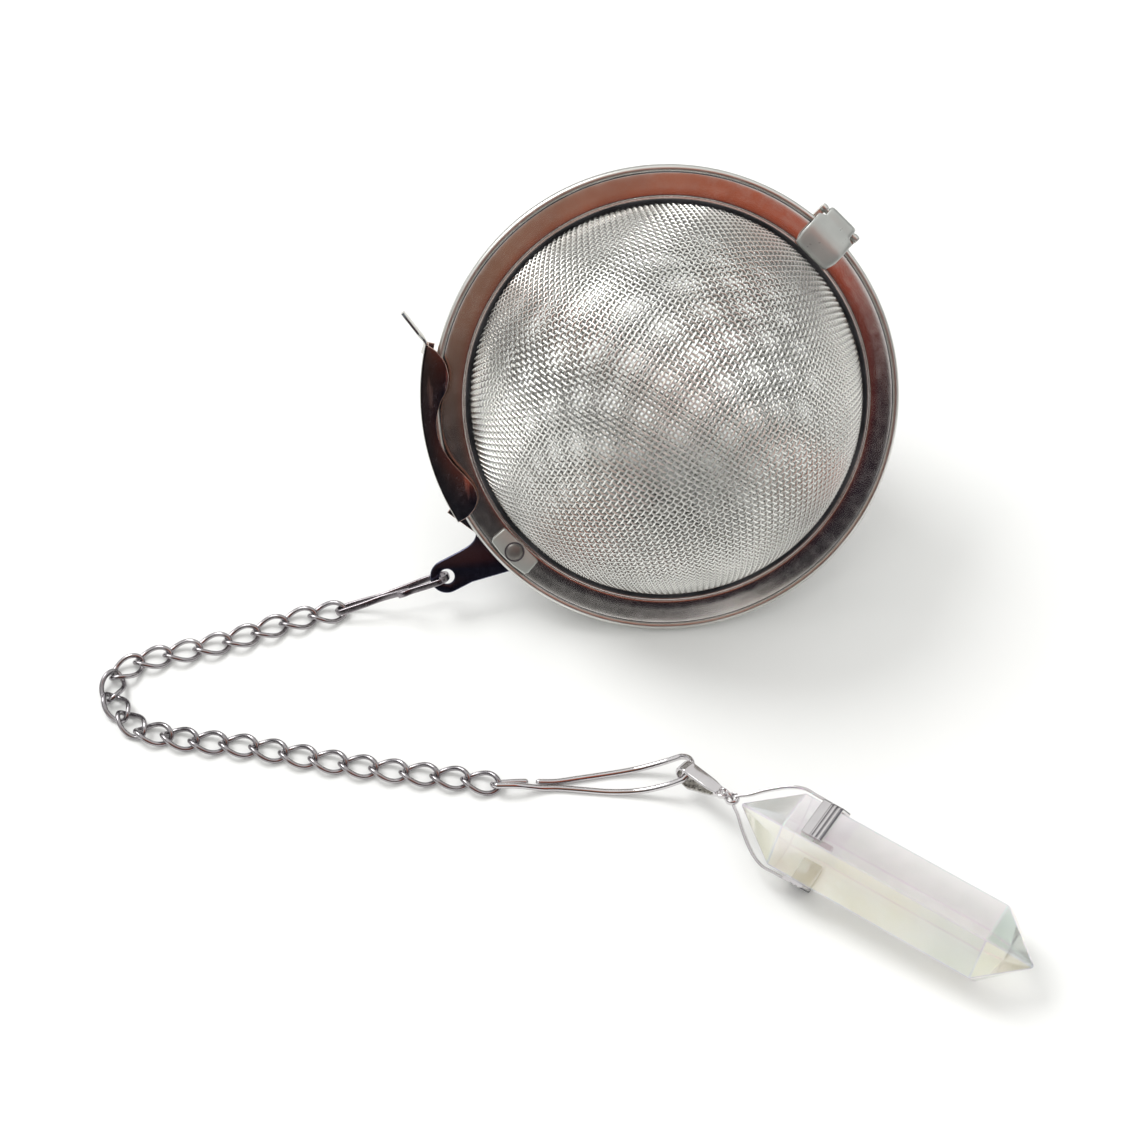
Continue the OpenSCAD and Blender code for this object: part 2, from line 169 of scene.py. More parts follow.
# ---------------------------------------------------------------- solids, as (vertices, faces)
def sweep(points, section, wide, closed=False, scale=1.0, width=1.0):
    """Carries a section along a path. Its first axis follows wide, one vector or one a point.

    scale grows the whole section and width its first axis, by one number or one a point.
    """
    p = np.asarray(points, float)
    n, m = len(p), len(section)
    if closed:
        ahead = np.roll(p, -1, 0) - np.roll(p, 1, 0)
    else:
        ahead = np.gradient(p, axis=0)
    ahead /= np.linalg.norm(ahead, axis=1)[:, None]
    across = np.broadcast_to(np.asarray(wide, float), (n, 3))
    across = across - (across * ahead).sum(1)[:, None] * ahead
    across = across / np.linalg.norm(across, axis=1)[:, None]
    grow = np.broadcast_to(np.asarray(scale, float), n)[:, None]
    widen = np.broadcast_to(np.asarray(width, float), n)[:, None]
    first = (grow * widen * across)[:, None, :]
    second = (grow * np.cross(ahead, across))[:, None, :]
    v = p[:, None, :] + section[None, :, :1] * first + section[None, :, 1:] * second
    faces = []
    for i in range(n if closed else n - 1):
        a, b = i * m, (i + 1) % n * m
        faces += [(a + k, a + (k + 1) % m, b + (k + 1) % m, b + k) for k in range(m)]
    if not closed:
        faces += [tuple(range(m - 1, -1, -1)), tuple(range((n - 1) * m, n * m))]
    return v.reshape(-1, 3), faces


def revolve(profile, n=256):
    """A closed profile of (radius, height) carried round the local Z axis."""
    profile = np.asarray(profile, float)
    m = len(profile)
    turn = np.radians(np.linspace(0, 360, n, endpoint=False))
    v = np.stack([
        np.outer(np.cos(turn), profile[:, 0]),
        np.outer(np.sin(turn), profile[:, 0]),
        np.broadcast_to(profile[:, 1], (n, m)),
    ], -1).reshape(-1, 3)
    faces = []
    for i in range(n):
        a, b = i * m, (i + 1) % n * m
        faces += [(a + k, b + k, b + (k + 1) % m, a + (k + 1) % m) for k in range(m)]
    return v, faces


def plate(outlines, thick, bevel):
    """A flat sheet with rounded edges and holes, centred on local Z = 0."""
    curve = bpy.data.curves.new("plate", "CURVE")
    curve.dimensions, curve.fill_mode = "2D", "BOTH"
    curve.extrude, curve.bevel_depth, curve.bevel_resolution = thick / 2 - bevel, bevel, 2
    curve.offset = -bevel
    for outline in outlines:
        spline = curve.splines.new("POLY")
        spline.points.add(len(outline) - 1)
        for point, (x, y) in zip(spline.points, outline):
            point.co = (x, y, 0, 1)
        spline.use_cyclic_u = True
    holder = linked("plate", curve)
    mesh = bpy.data.meshes.new_from_object(
        holder.evaluated_get(bpy.context.evaluated_depsgraph_get()))
    v = np.array([vertex.co for vertex in mesh.vertices])
    faces = [tuple(polygon.vertices) for polygon in mesh.polygons]
    bpy.data.objects.remove(holder)
    bpy.data.curves.remove(curve)
    bpy.data.meshes.remove(mesh)
    return v, faces


def moved(part, place):
    return place(part[0]), part[1]


def raised(part, height):
    return part[0] + [0, 0, height], part[1]


def joined(*parts):
    verts, faces, base = [], [], 0
    for part_verts, part_faces in parts:
        verts.append(part_verts)
        faces += [tuple(i + base for i in indices) for indices in part_faces]
        base += len(part_verts)
    return np.vstack(verts), faces


# ---------------------------------------------------------------- objects
SHARP = 40                 # edges bent by more than this many degrees stay hard
SOFT = 0                   # no edge stays hard
WELD = 1e-7                # vertices closer than this, in metres, become one


def linked(name, data):
    obj = bpy.data.objects.new(name, data)
    bpy.context.scene.collection.objects.link(obj)
    return obj


def piece(name, part, body, materials, replaces=(), sharp=SHARP, pick=None):
    """Makes one visible piece out of vertices in millimetres.

    pick gives the number of a face's material from the face's centre and normal.
    """
    v, faces = part
    mesh = bpy.data.meshes.new(name)
    mesh.from_pydata((np.asarray(v) * MM).tolist(), [], faces)
    bm = bmesh.new()
    bm.from_mesh(mesh)
    bmesh.ops.remove_doubles(bm, verts=bm.verts, dist=WELD)
    bmesh.ops.recalc_face_normals(bm, faces=bm.faces)
    bm.to_mesh(mesh)
    bm.free()
    mesh.shade_smooth()
    if sharp:
        mesh.set_sharp_from_angle(angle=math.radians(sharp))
    for material in materials:
        mesh.materials.append(material)
    if pick:
        for polygon in mesh.polygons:
            centre, normal = np.array(polygon.center) / MM, np.array(polygon.normal)
            polygon.material_index = pick(centre, normal)
    obj = linked(name, mesh)
    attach(obj, body)
    if replaces:
        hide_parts(*replaces)
    return obj


# ---------------------------------------------------------------- materials
NOISE_SPAN = 0.3, 0.7      # most of a noise texture's values lie between these
SCRATCH_DEPTH = 4e-6       # metres


def shader(name, **values):
    material = bpy.data.materials.new(name)
    material.use_nodes = True
    tree = material.node_tree
    bsdf = tree.nodes["Principled BSDF"]
    for key, value in values.items():
        bsdf.inputs[key.replace("_", " ")].default_value = value
    return material, tree, bsdf


def noise(tree, scale, detail=3.0, stretch=(1, 1, 1), rough=0.5):
    where = tree.nodes.new("ShaderNodeTexCoord")
    shape = tree.nodes.new("ShaderNodeMapping")
    shape.inputs["Scale"].default_value = stretch
    tex = tree.nodes.new("ShaderNodeTexNoise")
    tex.inputs["Scale"].default_value = scale
    tex.inputs["Detail"].default_value = detail
    tex.inputs["Roughness"].default_value = rough
    tree.links.new(where.outputs["Object"], shape.inputs["Vector"])
    tree.links.new(shape.outputs["Vector"], tex.inputs["Vector"])
    return tex.outputs["Fac"]


def ramp(tree, fac, stops):
    node = tree.nodes.new("ShaderNodeValToRGB")
    while len(node.color_ramp.elements) < len(stops):
        node.color_ramp.elements.new(0.5)
    for element, (at, color) in zip(node.color_ramp.elements, stops):
        element.position = at
        element.color = (*color, 1)
    tree.links.new(fac, node.inputs["Fac"])
    return node.outputs["Color"]


def remap(tree, fac, to=(0.0, 1.0), span=NOISE_SPAN):
    """Carries the values in span over to the range to."""
    node = tree.nodes.new("ShaderNodeMapRange")
    node.inputs["From Min"].default_value = span[0]
    node.inputs["From Max"].default_value = span[1]
    node.inputs["To Min"].default_value = to[0]
    node.inputs["To Max"].default_value = to[1]
    tree.links.new(fac, node.inputs["Value"])
    return node.outputs["Result"]


def color_mix(tree, fac, first):
    """Mixes a second colour, which the caller gives to input B, into the first."""
    node = tree.nodes.new("ShaderNodeMix")
    node.data_type = "RGBA"
    tree.links.new(fac, node.inputs["Factor"])
    tree.links.new(first, node.inputs["A"])
    return node


def bump(tree, bsdf, height, strength, distance):
    node = tree.nodes.new("ShaderNodeBump")
    node.inputs["Strength"].default_value = strength
    node.inputs["Distance"].default_value = distance
    tree.links.new(height, node.inputs["Height"])
    tree.links.new(node.outputs["Normal"], bsdf.inputs["Normal"])


def metal(name, dark, light, rough, scratch=0.25, scale=900, stretch=(1, 1, 1), share=1.0,
          streak=None):
    """A worked metal: patchy tone, uneven gloss and fine scratches.

    share is how far it is a metal and not a dark coat, and streak the colour of its long scratches.
    """
    material, tree, bsdf = shader(
        name, Metallic=share, Specular_IOR_Level=0.15 if share < 0.5 else 0.5)
    tone = ramp(tree, noise(tree, 160, 4), [(0.32, dark), (0.68, light)])
    if streak:
        lines = noise(tree, 1100, 2, (1, 0.1, 0.1))
        mix = color_mix(tree, ramp(tree, lines, [(0.60, (0, 0, 0)), (0.66, (1, 1, 1))]), tone)
        mix.inputs["B"].default_value = (*streak, 1)
        tone = mix.outputs["Result"]
    tree.links.new(tone, bsdf.inputs["Base Color"])
    fine = noise(tree, scale, 5, stretch, 0.65)
    tree.links.new(remap(tree, fine, rough), bsdf.inputs["Roughness"])
    bump(tree, bsdf, fine, scratch, SCRATCH_DEPTH)
    return material


def engraved_shaded_metal(name, cut, land):
    """A metal worked all over with a deep grain, its cuts darkened with painted shade."""
    material, tree, bsdf = shader(name, Metallic=1.0)
    grain = noise(tree, 2600, 4, rough=0.7)
    tree.links.new(ramp(tree, grain, [(0.38, cut), (0.62, land)]), bsdf.inputs["Base Color"])
    tree.links.new(remap(tree, grain, (0.2, 0.45)), bsdf.inputs["Roughness"])
    bump(tree, bsdf, grain, 1.0, 6e-5)
    return material


def coated_glass(name, dark, light, film, rough=0.09, clear=0.82):
    """Glass under a thin iridescent coat, faintly milky, with soft flaws inside."""
    material, tree, bsdf = shader(
        name, IOR=1.3, Transmission_Weight=clear, Thin_Film_Thickness=film, Thin_Film_IOR=1.6)
    flaw = noise(tree, 260, 3)
    tree.links.new(ramp(tree, flaw, [(0.35, dark), (0.65, light)]), bsdf.inputs["Base Color"])
    tree.links.new(remap(tree, flaw, (rough * 0.7, rough * 1.3)), bsdf.inputs["Roughness"])
    bump(tree, bsdf, noise(tree, 900, 2), 0.05, 2e-5)
    return material


rim_metal = metal(
    "rim_polished_steel", (0.50, 0.47, 0.45), (0.62, 0.60, 0.58), (0.16, 0.26), 0.2, 700)
# The bead's steel is a lighter copy of the rim steel: a painted highlight along the rolled edge.
bead_highlight_metal = metal(
    "rolled_edge_painted_highlight", (0.60, 0.60, 0.57), (0.72, 0.72, 0.69), (0.28, 0.4), 0.15, 900)
# A near-black copy of the rim steel: painted shade on the rolled inner edge and in the groove
# behind the bead.
crimp_shade_metal = metal(
    "crimped_edge_painted_shade", (0.035, 0.035, 0.04), (0.13, 0.13, 0.14), (0.45, 0.6), 0.5, 1500,
    share=0.35)
# Near-black steel for painted shade in gaps and grooves.
groove_shade_metal = metal(
    "painted_groove_shade", (0.06, 0.058, 0.065), (0.14, 0.135, 0.15), (0.3, 0.45), 0.2, 1500, share=0.6)
hinge_metal = metal(
    "hinge_steel", (0.34, 0.35, 0.34), (0.46, 0.47, 0.45), (0.26, 0.38), 0.25, 1200, share=0.55)
latch_edge_metal = metal(
    "latch_wall_steel", (0.50, 0.49, 0.46), (0.64, 0.63, 0.59), (0.25, 0.4), 0.25, 1200)
copper_edge = metal(
    "latch_cut_edge", (0.42, 0.24, 0.18), (0.58, 0.36, 0.28), (0.3, 0.42), 0.2, 1500)
# A darker copy of the woven wire for the back bowl: painted shade inside the ball.
back_wire_shaded_metal = metal(
    "woven_back_wire_painted_shade", (0.52, 0.52, 0.50), (0.64, 0.64, 0.62), (0.25, 0.4), 0.1, 2500)
pad_metal = metal(
    "pressed_pad_steel", (0.42, 0.44, 0.415), (0.54, 0.555, 0.525), (0.3, 0.42), 0.25, 900,
    share=0.6)
rivet_metal = metal(
    "rivet_dull_steel", (0.13, 0.12, 0.115), (0.22, 0.205, 0.19), (0.34, 0.5), 0.4, 1500,
    share=0.7)
latch_metal = metal(
    "latch_scratched_steel", (0.11, 0.125, 0.15), (0.17, 0.19, 0.225), (0.10, 0.30), 0.4, 1600,
    (1, 0.12, 1), streak=(0.52, 0.53, 0.55))
ear_metal = metal(
    "ear_dark_steel", (0.07, 0.075, 0.12), (0.105, 0.11, 0.17), (0.16, 0.26), 0.2, 1200)
wire_metal = metal(
    "woven_steel_wire", (0.76, 0.76, 0.73), (0.90, 0.90, 0.87), (0.16, 0.28), 0.1, 2500)
chain_metal = metal(
    "chain_steel", (0.30, 0.285, 0.30), (0.45, 0.43, 0.44), (0.14, 0.26), 0.2, 1800)
strip_metal = metal(
    "strip_steel", (0.24, 0.22, 0.235), (0.38, 0.35, 0.37), (0.16, 0.3), 0.25, 1800)
chrome = metal(
    "bright_chrome", (0.52, 0.50, 0.51), (0.68, 0.66, 0.67), (0.05, 0.12), 0.12, 1200)
# The dark cut colour of the engraved chrome is painted shade in the grain's hollows.
engraved = engraved_shaded_metal("engraved_chrome_painted_shade", (0.20, 0.195, 0.175), (0.80, 0.78, 0.72))
crystal_clear = coated_glass(
    "iridescent_crystal", (0.95, 0.96, 0.94), (0.99, 0.985, 0.985), 380.0)
# Tinted copies of the crystal glass: the green upper facet, the warm lower facet and the violet
# ground edges are painted reflection colours.
crystal_green_reflection = coated_glass(
    "crystal_green_painted_reflection", (0.80, 0.86, 0.82), (0.90, 0.93, 0.90), 520.0)
crystal_warm_reflection = coated_glass(
    "crystal_warm_painted_reflection", (0.97, 0.96, 0.86), (0.99, 0.99, 0.93), 300.0)
crystal_violet_glint = coated_glass(
    "crystal_violet_edge_painted_glint", (0.88, 0.78, 0.91), (0.95, 0.89, 0.96), 440.0, 0.15, 0.75)


# ---------------------------------------------------------------- rims
RING_R, BEAD_R, RIM_GAP = 25.4, 0.4, 0.05
BEAD_AT, BEAD_Z = RING_R - BEAD_R, RIM_GAP + BEAD_R
MESH_R = 21.6
FLANGE, BEAD, EXTRA, CRIMP_SHADE, TONGUE = range(5)        # the rims' materials, by number
BEAD_FROM, GROOVE_FROM, CRIMP_TO = BEAD_AT - 0.3, BEAD_AT - 0.42, MESH_R + 0.24


def rim_profile():
    """Rolled bead, groove, crowned flange and rolled inner edge, as (radius, height)."""
    bead = arc([BEAD_AT, BEAD_Z], BEAD_R, 128, -110, 24)
    flange = smooth_path([
        [MESH_R + 0.10, 0.98], [MESH_R + 0.26, 1.10], [MESH_R + 0.44, 1.06],
        [MESH_R + 0.62, 1.13], [MESH_R + 1.2, 1.10], [MESH_R + 1.9, 0.99], [MESH_R + 2.6, 0.87],
        [BEAD_AT - 0.42, 0.78], [BEAD_AT - 0.31, 0.72],
    ], 5)
    under = smooth_path([
        [BEAD_AT - 0.35, 0.25], [MESH_R + 2.3, 0.55], [MESH_R + 1.2, 0.62],
        [MESH_R + 0.45, 0.40], [MESH_R + 0.05, 0.28], [MESH_R - 0.34, 0.28],
        [MESH_R - 0.36, 0.40], [MESH_R - 0.1, 0.52], [MESH_R + 0.02, 0.75],
    ], 4)
    return np.vstack([flange, bead, under])


# The inner rolled edge and the groove between flange and bead take the crimp's near-black steel,
# which is painted shade.
def rim_slot(centre):
    x, y, _ = ball.local(centre)
    r = math.hypot(x, y)
    if r > BEAD_FROM:
        return BEAD
    return CRIMP_SHADE if r < CRIMP_TO or r > GROOVE_FROM else FLANGE


rim = revolve(rim_profile())
back_half = rim[0] * [1, 1, -1], rim[1]

# Hinge: a slotted tab on the back rim, and the tongue that hooks round its bar.
hinge = at_rim(HINGE_ANGLE)
TAB_W, TAB_T, TAB_FROM, TAB_TO = 5.4, 0.6, BEAD_AT - 0.1, BAR_AT + 0.1
SLOT_HALF, SLOT_FROM = 2.0, RING_R + 0.05
BAR_R, BAR_END = 0.35, TAB_W / 2 - 0.1
KNUCKLE_R, KNUCKLE_TAPER = 0.45, (0.88, 1, 1, 1, 0.88)
TONGUE_T, TONGUE_W, TONGUE_ROOT_W, TONGUE_MID_W = 0.38, 3.6, 4.4, 5.0
tab = raised(plate([[
    (TAB_FROM, -TAB_W / 2), (TAB_TO, -TAB_W / 2), (TAB_TO, -SLOT_HALF), (SLOT_FROM, -SLOT_HALF),
    (SLOT_FROM, SLOT_HALF), (TAB_TO, SLOT_HALF), (TAB_TO, TAB_W / 2), (TAB_FROM, TAB_W / 2),
]], TAB_T, 0.08), -RIM_GAP - TAB_T / 2)


def bar_path(start, end, n):
    return [[BAR_AT, y, 0] for y in np.linspace(start, end, n)]


bar = sweep(bar_path(-BAR_END, BAR_END, 6), circle_section(BAR_R, 20), X_AXIS)
knuckles = [
    sweep(bar_path(side * SLOT_HALF, side * TAB_W / 2, len(KNUCKLE_TAPER)),
          circle_section(KNUCKLE_R, 24), X_AXIS, scale=KNUCKLE_TAPER)
    for side in (-1, 1)
]
tongue_path = smooth_path([
    [MESH_R + 0.35, 0, 0.75], [MESH_R + 0.38, 0, 1.15], [MESH_R + 0.62, 0, 1.45],
    [MESH_R + 1.3, 0, 1.56], [MESH_R + 2.3, 0, 1.62], [MESH_R + 3.2, 0, 1.40],
    [RING_R, 0, 1.12], [BAR_AT - 0.5, 0, 0.78], [BAR_AT, 0, 0.61], [BAR_AT + 0.42, 0, 0.43],
    [BAR_AT + 0.6, 0, 0.0], [BAR_AT + 0.43, 0, -0.42], [BAR_AT, 0, -0.6],
], 6)
tongue = sweep(
    tongue_path, strip_section(1.0, TONGUE_T), Y_AXIS,
    width=np.interp(
        tongue_path[:, 0], [MESH_R + 0.4, MESH_R + 1.4, BAR_AT - 0.75, BAR_AT - 0.45],
        [TONGUE_ROOT_W, TONGUE_MID_W, TONGUE_MID_W, TONGUE_W]))

# Ear: a flat tab with the chain's hole, and the web that joins it to the rim.
EAR_T, EAR_Z, EAR_END, HOLE_R, EAR_LEAN = 0.5, -1.6, 1.85, 0.85, 205
WEB_T, WEB_Z, WEB_FROM, WEB_TO = 0.8, EAR_Z + 0.55, MESH_R + 1.2, RING_R - 0.5
EAR_SPAN, EAR_TOP, EAR_FROM = (205, 232), EAR_Z + EAR_T + 0.02, BEAD_AT - 2.5
ear_hole = flat(217, 31.0)
ear_side = flat(EAR_LEAN - 90, EAR_END)
ear_outline = [
    *arc(ear_hole, EAR_END, EAR_LEAN - 90, EAR_LEAN + 90, 20),
    *smooth_path([
        ear_hole - ear_side - flat(EAR_LEAN, 2.2), flat(226.5, RING_R - 0.2),
        flat(228.5, RING_R - 1.2)], 4),
    flat(228, MESH_R + 1), flat(212, MESH_R + 1), flat(210.5, RING_R - 1.0),
    *smooth_path([
        flat(211.8, RING_R - 0.35), flat(213.8, RING_R + 0.35), flat(214.6, RING_R + 1.3),
        ear_hole + ear_side - flat(EAR_LEAN, 2.6)], 4),
]
ear = raised(plate([ear_outline, round_hole(ear_hole, HOLE_R)], EAR_T, 0.12), EAR_Z + EAR_T / 2)
ear_web = raised(plate([[
    flat(213, WEB_FROM), flat(213, WEB_TO), flat(220, WEB_TO), flat(227, WEB_TO),
    flat(227, WEB_FROM),
]], WEB_T, 0.1), WEB_Z)


def back_rim_slot(centre, normal):
    x, y, z = ball.local(centre)
    angle = math.degrees(math.atan2(y, x)) % 360
    if z < EAR_TOP and EAR_SPAN[0] < angle < EAR_SPAN[1] and math.hypot(x, y) > EAR_FROM:
        return EXTRA
    return rim_slot(centre)


back_hinge = [moved(part, hinge) for part in (tab, bar, *knuckles)]
piece("back_rim_sheet",
      joined(moved(back_half, ball), *back_hinge, moved(ear, ball), moved(ear_web, ball)),
      "back_shell", [rim_metal, bead_highlight_metal, ear_metal, crimp_shade_metal], ["back_rim"],
      pick=back_rim_slot)

# Rivet, on a raised pad of the front rim
RIVET_ANGLE, RIVET_AT, RIVET_R = 222.3, 23.3, 0.6
PAD_T, PAD_TOP = 0.5, 1.6
PAD_BOX = 1.5, 3.4, 1.24             # the pad's faces: half length, half width, lowest height
TONGUE_BOX = 2.6, 1.2, RING_R + 0.1  # the tongue's: half width, and lowest height or reach
rivet_place = at_rim(RIVET_ANGLE, RIVET_AT)
pad = raised(plate([[
    (-1.1, -2.35), (-1.0, -2.6), (0.6, -2.75), (1.0, -2.5), (1.25, -1.0), (1.25, 1.0),
    (1.0, 2.5), (0.6, 2.75), (-1.0, 2.6), (-1.1, 2.35), (-1.15, 0),
]], PAD_T, 0.16), PAD_TOP - PAD_T / 2)


def front_rim_slot(centre, normal):
    x, y, z = rivet_place.local(centre)
    if abs(x) < PAD_BOX[0] and abs(y) < PAD_BOX[1] and z > PAD_BOX[2]:
        return EXTRA
    x, y, z = hinge.local(centre)
    if abs(y) < TONGUE_BOX[0] and x > 0 and (z > TONGUE_BOX[1] or x > TONGUE_BOX[2]):
        return TONGUE
    return rim_slot(centre)


piece("front_rim_sheet", joined(moved(rim, ball), moved(tongue, hinge), moved(pad, rivet_place)),
      "front_shell", [rim_metal, bead_highlight_metal, pad_metal, crimp_shade_metal, hinge_metal],
      ["front_rim"], pick=front_rim_slot)
# A thin near-black ring round the rivet: painted shade in the gap round its head.
gap_shade_ring = revolve([
    (0.9, PAD_TOP - 0.03), (1.1, PAD_TOP - 0.03), (1.1, PAD_TOP + 0.012), (0.9, PAD_TOP + 0.012),
], 48)
piece("rivet_gap_painted_shade", moved(gap_shade_ring, rivet_place), "front_shell", [groove_shade_metal])
rivet = revolve([
    (0.001, PAD_TOP + 0.30), (0.35, PAD_TOP + 0.285), (0.68, PAD_TOP + 0.22),
    (0.86, PAD_TOP + 0.12), (0.94, PAD_TOP + 0.02), (0.94, PAD_TOP - 0.05),
    (RIVET_R, PAD_TOP - 0.08), (RIVET_R, 0.1), (0.8, 0.1), (0.8, 0.03), (0.001, 0.03),
], 48)
piece("rivet_head", moved(rivet, rivet_place), "front_shell", [rivet_metal],
      ["pivot_rivet"], sharp=50)


# ---------------------------------------------------------------- woven bowls
BOWL_R, BOWL_BASE, FRONT_DEPTH, BACK_DEPTH = MESH_R - 0.1, 0.5, 19.1, 19.9
WIRE_R, WIRE_SIDES, WEAVE, WEAVE_TURN = 0.125, 5, 0.6, 55.0
CLOTH_IN = 2.2 * WIRE_R       # the cloth's middle lies this far inside the bowl's skin
SWING = 1.02 * WIRE_R         # a wire passes this far over or under the cloth's middle
SKIRT = 0.3                   # the cloth runs this far on, straight into the crimp
SHORTEST = 3                  # a wire has at least this many crossings


def woven_bowl(phase, depth, place):
    """Wires woven over and under one another, laid on a bowl and pressed flat on the surface."""
    rise = depth - BOWL_BASE
    sphere_r = (BOWL_R ** 2 + rise ** 2) / (2 * rise)
    middle = depth - sphere_r
    edge = sphere_r * math.acos((BOWL_BASE - middle) / sphere_r)
    top = edge + SKIRT
    count = int(top / WEAVE)
    centre = place([0, 0, middle])
    lay = spin_z(WEAVE_TURN)[:2, :2].T
    section = circle_section(WIRE_R, WIRE_SIDES)

    def on_bowl(flat_points, lift):
        s = np.linalg.norm(flat_points, axis=1)
        way = flat_points / np.maximum(s, 1e-9)[:, None]
        bend = np.minimum(s, edge) / sphere_r
        r = sphere_r - CLOTH_IN + lift
        z = middle + r * np.cos(bend) - np.maximum(s - edge, 0)
        return place(np.column_stack([way * (r * np.sin(bend))[:, None], z]))

    wires = []
    for direction in (0, 1):
        for i in range(-count, count + 1):
            across = (i + phase) * WEAVE
            if abs(across) >= top - SKIRT:
                continue
            half = math.sqrt(top ** 2 - across ** 2) / WEAVE
            crossings = np.arange(math.ceil(-half - phase), math.floor(half - phase) + 1)
            if len(crossings) < SHORTEST:
                continue
            uv = np.column_stack([(crossings + phase) * WEAVE, np.full(len(crossings), across)])
            if direction:
                uv = uv[:, ::-1]
            uv = uv @ lay
            over = np.where((crossings + i + direction) % 2 == 0, 1.0, -1.0)
            p = on_bowl(uv, over * SWING)
            p[:, 2] += np.maximum(CLOTH_IN - on_bowl(uv, 0)[:, 2], 0)
            wires.append(sweep(p, section, p - centre))
    return joined(*wires)


back_ball = ball.sub([0, 0, 0], np.diag([1.0, 1.0, -1.0]))
piece("front_woven_bowl", woven_bowl(0.5, FRONT_DEPTH, ball), "front_shell", [wire_metal],
      ["front_mesh"], sharp=SOFT)
piece("back_woven_bowl", woven_bowl(0.27, BACK_DEPTH, back_ball), "back_shell",
      [back_wire_shaded_metal], ["back_mesh"], sharp=SOFT)

# ---------------------------------------------------------------- latch
LATCH_EASE, LATCH_TOP, LATCH_LOW, HOOK_LOW = 2.8, 162.5, 207.0, 187.0
WALL_IN, SHEET = RING_R + 0.1, 0.4
WALL_OUT, WALL_MID = WALL_IN + SHEET, WALL_IN + SHEET / 2
LATCH_FACE, LATCH_REAR, WALL_LOW = 1.4, -1.3, -0.9
LIP_IN = RING_R - 0.55
ARM_R, ARM_HOLE_R, ARM_T, ARM_Z = 1.0, 0.65, 0.38, 0.35
THUMB_T, THUMB_Z, THUMB_LEAN = 0.42, 0.14, 0.32
eye = flat(RIVET_ANGLE, RIVET_AT)
ease = spin_z(LATCH_EASE)
latch = ball.sub([*eye, 0] - ease @ [*eye, 0], ease)
SCALLOP = [      # angle, and depth inside the rim
    (162.7, 0.1), (163.6, 0.9), (165.5, 1.8), (168.0, 2.35), (170.6, 2.55), (173.4, 2.35),
    (176.4, 1.75), (180.0, 1.25), (184.0, 1.05), (188.0, 1.2), (192.5, 1.75), (196.8, 2.5),
    (200.4, 2.95), (203.6, 2.85), (206.0, 2.1), (207.2, 0.9), (207.3, 0.1),
]
latch_front = raised(plate([
    arc([0, 0], WALL_OUT - 0.03, LATCH_LOW + 0.2, LATCH_TOP + 0.1, 40)
    + list(smooth_path([flat(angle, RING_R - depth) for angle, depth in SCALLOP], 5)),
], SHEET, 0.1), LATCH_FACE + SHEET / 2)


def wall(start, low, n):
    """The latch's wall from an angle up to its top, and from a height up to its front."""
    high = LATCH_FACE + SHEET
    path = [[*flat(a, WALL_MID), (low + high) / 2] for a in np.linspace(start, LATCH_TOP, n)]
    return sweep(path, strip_section(high - low, SHEET, 0.12), Z_AXIS)


latch_lip = raised(plate([
    arc([0, 0], WALL_OUT - 0.02, HOOK_LOW, LATCH_TOP, 24)
    + arc([0, 0], LIP_IN, LATCH_TOP, HOOK_LOW, 24),
], SHEET, 0.1), LATCH_REAR - SHEET / 2)
tail = flat(LATCH_LOW - 3, WALL_IN)
arm_run = unit(tail - eye)
arm_side = np.array([-arm_run[1], arm_run[0]])
arm_turn = math.degrees(math.atan2(-arm_side[1], -arm_side[0]))
arm = raised(plate([
    [eye + ARM_R * arm_side, tail + 0.9 * arm_side + 0.3 * arm_run,
     tail - 0.9 * arm_side + 0.3 * arm_run, eye - ARM_R * arm_side]
    + arc(eye, ARM_R, arm_turn, arm_turn - 180, 14)[1:-1],
    round_hole(eye, ARM_HOLE_R),
], ARM_T, 0.08), ARM_Z)
thumb_root = flat(LATCH_TOP, WALL_MID)
thumb_way = flat(LATCH_TOP - 40)
back_way = flat(LATCH_TOP + 90)
thumb_line = [thumb_root + way * reach for way, reach in (
    (back_way, 1.2), (back_way, 0.35), (thumb_way, 0.5), (thumb_way, 1.5), (thumb_way, 3.0),
    (thumb_way, 4.25))]
thumb_path = smooth_path([[*p, THUMB_Z] for p in thumb_line], 7)
thumb = sweep(
    thumb_path, strip_section(1.0, THUMB_T, 0.15), [*flat(LATCH_TOP + 140, THUMB_LEAN), 1.0],
    width=np.interp(np.linspace(0, 1, len(thumb_path)), [0, 0.3, 0.42, 0.6, 0.9, 1],
                    [2.4, 2.2, 1.9, 2.7, 2.7, 2.3]))


def latch_side(centre, normal):
    """The scratched front is darker than the wall's outside and the cut edges."""
    x, y, _ = latch.local(centre)
    if abs((normal @ latch.axes)[2]) >= 0.85:
        return 0
    return 1 if math.hypot(x, y) > WALL_MID else 2


latch_walls = wall(LATCH_LOW, WALL_LOW, 40), wall(HOOK_LOW, LATCH_REAR - SHEET, 24)
piece("latch_channel",
      moved(joined(latch_front, *latch_walls, latch_lip, arm, thumb), latch), "latch",
      [latch_metal, latch_edge_metal, copper_edge], ["latch_lever"],
      pick=latch_side)

